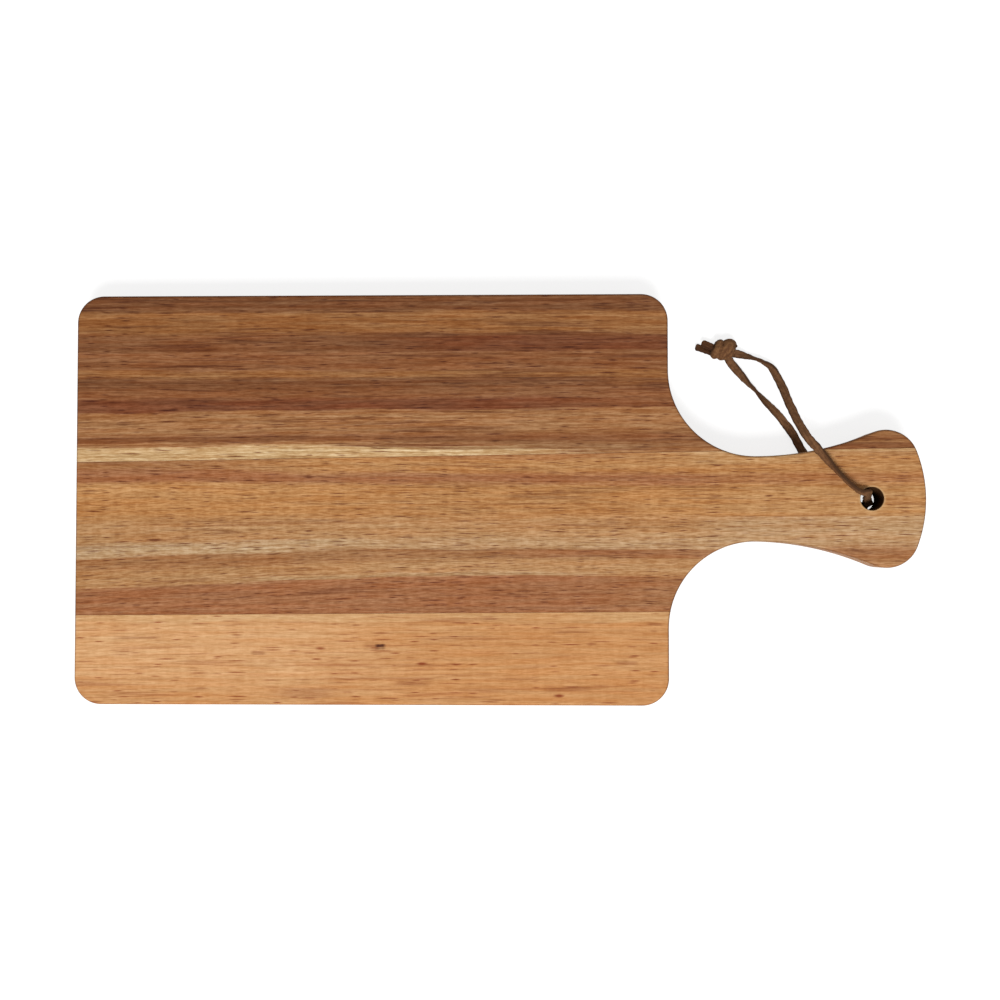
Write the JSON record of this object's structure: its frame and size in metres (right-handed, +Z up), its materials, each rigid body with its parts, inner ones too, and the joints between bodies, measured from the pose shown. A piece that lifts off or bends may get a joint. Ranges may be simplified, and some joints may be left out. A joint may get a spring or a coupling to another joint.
{
  "type": "paddle serving board",
  "caption": "Flat paddle serving board of edge-glued planks with a flared handle, a drilled hanging hole and a knotted suede loop; food is served on its top face.",
  "frame": {"origin": "centre of the wood's box on the table that it lies on", "axes": "+X from the blade towards the handle, +Z up from the table, top face looking along +Z"},
  "size_m": [0.3001, 0.145, 0.0203],
  "materials": {
    "wood_dark": "oiled satin",
    "wood_mid": "oiled satin",
    "wood_pale": "oiled satin",
    "glue": "cured wood glue",
    "suede": "napped suede"
  },
  "bodies": {
    "board": {"upper_stave": "wood_dark", "middle_stave": "wood_mid", "lower_stave": "wood_pale", "handle_slip": "wood_dark", "upper_glue_line": "glue", "lower_glue_line": "glue", "slip_glue_line": "glue"},
    "hanging_loop": {"thong_front_run": "suede", "thong_bight": "suede", "thong_back_run": "suede", "thong_knot": "suede", "thong_tails": "suede"}
  },
  "joints": [
    {"name": "loop_swing", "type": "hinge", "parent": "board", "child": "hanging_loop", "pos_m": [0.13095, 0, 0.00913], "axis": [-0.0058, 0, 1], "range_deg": [-272, 0]}
  ]
}
